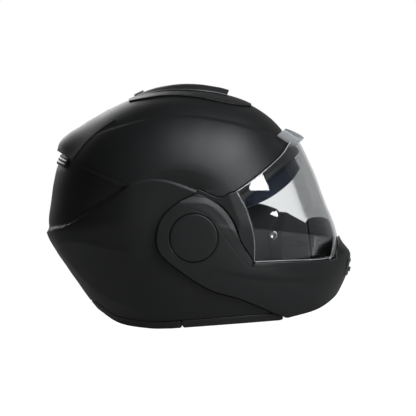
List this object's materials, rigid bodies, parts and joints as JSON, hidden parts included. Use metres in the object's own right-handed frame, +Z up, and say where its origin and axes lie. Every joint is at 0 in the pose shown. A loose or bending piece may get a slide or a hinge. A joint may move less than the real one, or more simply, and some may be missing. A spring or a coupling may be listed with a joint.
{
  "type": "flip-up motorcycle helmet",
  "caption": "Flip-up motorcycle helmet with a hinged chin bar, clear visor, inner sun visor, vents, padded lining and buckled chin strap.",
  "frame": {"origin": "under the middle of the helmet, on the surface that its lower rim stands on", "axes": "+X to the front, +Y to the wearer's left, +Z up"},
  "size_m": [0.3419, 0.2524, 0.2725],
  "materials": {
    "shell_paint": "matte",
    "chin_paint": "satin",
    "black_plastic": "satin",
    "rubber": "matte",
    "foam": "matte",
    "lining_fabric": "matte",
    "webbing": "matte",
    "steel": "satin",
    "clear_visor": "gloss",
    "smoke_visor": "gloss"
  },
  "bodies": {
    "shell": {"outer_shell": "shell_paint", "base_trim_rear": "rubber", "base_trim_left": "rubber", "base_trim_right": "rubber", "eps_liner": "foam", "crown_pad": "lining_fabric", "neck_roll": "lining_fabric", "cheek_pad_left": "lining_fabric", "cheek_pad_right": "lining_fabric", "eyeport_seal": "rubber", "rear_spoiler": "black_plastic", "rear_exhaust": "black_plastic", "top_vent": "black_plastic", "hinge_plate_left": "steel", "hinge_plate_right": "steel", "hinge_pin_left": "steel", "hinge_pin_right": "steel", "plate_screw_left": "steel", "plate_screw_right": "steel", "latch_striker_left": "steel", "latch_striker_right": "steel", "sun_visor_pin_left": "steel", "sun_visor_pin_right": "steel", "sun_visor_track": "black_plastic", "chin_strap_left": "webbing", "chin_strap_right": "webbing", "buckle_housing": "black_plastic", "buckle_tongue": "black_plastic"},
    "chin_bar": {"chin_bar_shell": "chin_paint", "side_cover_left": "chin_paint", "side_cover_right": "chin_paint", "chin_bar_liner": "foam", "breath_deflector": "rubber", "chin_vent_frame": "black_plastic", "hinge_bush_left": "steel", "hinge_bush_right": "steel"},
    "visor": {"visor_shield": "clear_visor", "visor_arm_left": "black_plastic", "visor_arm_right": "black_plastic", "antifog_pin_left": "clear_visor", "antifog_pin_right": "clear_visor"},
    "sun_visor": {"sun_visor": "smoke_visor"},
    "sun_visor_slider": {"sun_visor_slider": "black_plastic"},
    "top_vent_slider": {"top_vent_slider": "black_plastic"},
    "chin_vent_shutter": {"chin_vent_shutter": "black_plastic"},
    "latch_hooks": {"latch_hook_left": "steel", "latch_hook_right": "steel"},
    "chin_release": {"chin_release_button": "black_plastic"},
    "buckle_lever": {"buckle_lever": "black_plastic"}
  },
  "joints": [
    {"name": "chin_bar_hinge", "type": "hinge", "parent": "shell", "child": "chin_bar", "pos_m": [-0.0206, 0, 0.1222], "axis": [0, -1, 0], "range_deg": [0, 55]},
    {"name": "visor_hinge", "type": "hinge", "parent": "chin_bar", "child": "visor", "pos_m": [-0.0206, 0, 0.1222], "axis": [0, -1, 0], "range_deg": [0, 45]},
    {"name": "sun_visor_tilt", "type": "hinge", "parent": "shell", "child": "sun_visor", "pos_m": [0.005, 0, 0.128], "axis": [0, 1, 0], "range_deg": [-10, 15]},
    {"name": "sun_visor_slide", "type": "slide", "parent": "shell", "child": "sun_visor_slider", "axis": [0.9352, 0.3541, 0], "range_m": [-0.0056, 0.0083]},
    {"name": "top_vent_slide", "type": "slide", "parent": "shell", "child": "top_vent_slider", "axis": [0.9779, 0, 0.209], "range_m": [0, 0.009]},
    {"name": "chin_vent_slide", "type": "slide", "parent": "chin_bar", "child": "chin_vent_shutter", "axis": [0.3499, 0, 0.9368], "range_m": [0, 0.005]},
    {"name": "chin_release_press", "type": "slide", "parent": "chin_bar", "child": "chin_release", "axis": [-1, 0, 0], "range_m": [0, 0.005], "stiffness_N_per_m": 200, "springref_m": -0.001},
    {"name": "latch_hook_slide", "type": "slide", "parent": "chin_bar", "child": "latch_hooks", "axis": [1, 0, 0], "range_m": [0, 0.005]},
    {"name": "buckle_lever_hinge", "type": "hinge", "parent": "shell", "child": "buckle_lever", "pos_m": [0.008, 0.032, 0.0146], "axis": [-1, 0, 0], "range_deg": [0, 60], "stiffness_Nm_per_rad": 0.02, "springref_deg": -5.73}
  ],
  "couplings": [
    {"joint": "sun_visor_slide", "follows": "sun_visor_tilt", "m_per_rad": 0.030558},
    {"joint": "latch_hook_slide", "follows": "chin_release_press", "ratio": 1}
  ]
}
